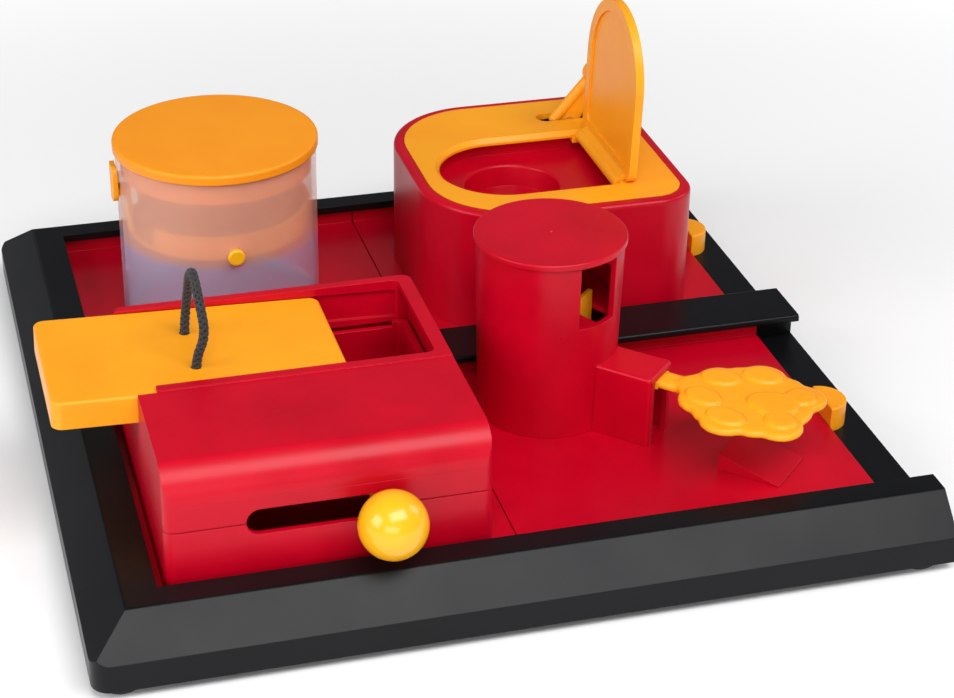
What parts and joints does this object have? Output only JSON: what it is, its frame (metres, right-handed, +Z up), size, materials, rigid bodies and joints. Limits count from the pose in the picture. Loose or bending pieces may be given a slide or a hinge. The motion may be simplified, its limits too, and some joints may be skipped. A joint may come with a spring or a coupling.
{
  "type": "dog puzzle feeder toy",
  "caption": "Square tray with snap-in treat puzzles: a slide-top box with a ball-knob drawer, a drum with a tipping tray, a flap lid with a lever, and a tower with a paw lever.",
  "frame": {"origin": "centre of the board's outline, on the floor under its feet", "axes": "+X right along the front edge, +Y towards the back, +Z up"},
  "size_m": [0.31, 0.32, 0.1387],
  "materials": {
    "board_black": "satin moulded black plastic",
    "foot_rubber": "matt black rubber",
    "module_red": "satin crimson moulded plastic",
    "lid_orange": "satin orange-yellow moulded plastic",
    "knob_yellow": "glossy yellow-orange moulded plastic",
    "frosted_clear": "frosted see-through plastic",
    "cord_black": "black braided cord",
    "steel": "zinc-plated steel"
  },
  "bodies": {
    "root": {"base_board": "board_black", "centre_rail": "board_black", "rail_screws": "steel", "rubber_feet": "foot_rubber", "plate_slide_box": "module_red", "plate_drum": "module_red", "plate_flap": "module_red", "plate_tower": "module_red", "slide_box_base": "module_red", "slide_box_top": "module_red", "frosted_drum": "frosted_clear", "flap_housing": "module_red", "flap_frame": "lid_orange", "flap_floor": "module_red", "tower_body": "module_red", "tower_cap": "module_red", "tower_shelf": "module_red", "chute_block": "module_red", "paw_axle": "steel", "stop_ramp": "module_red", "module_screws": "steel"},
    "sliding_lid": {"slide_lid": "lid_orange", "pull_cord": "cord_black", "cord_knots": "cord_black"},
    "drawer": {"treat_drawer": "module_red", "drawer_stem": "knob_yellow", "drawer_knob": "knob_yellow"},
    "drum_cover": {"drum_lid": "lid_orange"},
    "tray": {"tipping_tray": "lid_orange", "tray_pins": "knob_yellow", "tray_lever": "lid_orange"},
    "flap": {"flap_lid": "lid_orange", "flap_shaft": "steel", "flap_lever": "lid_orange"},
    "paw": {"paw_lever": "lid_orange"},
    "front_lock": {"lock_post_front": "lid_orange"},
    "back_lock": {"lock_post_back": "lid_orange"}
  },
  "joints": [
    {"name": "lid_slide", "type": "slide", "parent": "root", "child": "sliding_lid", "axis": [0.9995, 0, -0.0326], "range_m": [-0.08, 0.03]},
    {"name": "drawer_slide", "type": "slide", "parent": "root", "child": "drawer", "axis": [1, 0, 0], "range_m": [-0.0435, 0]},
    {"name": "drum_cover_lift", "type": "slide", "parent": "root", "child": "drum_cover", "axis": [0, 0, 1], "range_m": [0, 0.06]},
    {"name": "tray_tip", "type": "hinge", "parent": "root", "child": "tray", "pos_m": [-0.0694, 0.0786, 0.0573], "axis": [0, 1, 0], "range_deg": [-35, 0], "stiffness_Nm_per_rad": 0.02, "springref_deg": 6.88},
    {"name": "flap_hinge", "type": "hinge", "parent": "root", "child": "flap", "pos_m": [0.0926, 0.0675, 0.0692], "axis": [0, 1, 0], "range_deg": [-92, 0]},
    {"name": "paw_press", "type": "hinge", "parent": "root", "child": "paw", "pos_m": [0.05861, -0.05881, 0.0396], "axis": [0.7071, 0.7071, 0], "range_deg": [0, 15], "stiffness_Nm_per_rad": 0.02, "springref_deg": -34.38},
    {"name": "front_lock_lift", "type": "slide", "parent": "root", "child": "front_lock", "axis": [0, 0, 1], "range_m": [0, 0.025]},
    {"name": "back_lock_lift", "type": "slide", "parent": "root", "child": "back_lock", "axis": [0, 0, 1], "range_m": [0, 0.025]}
  ]
}
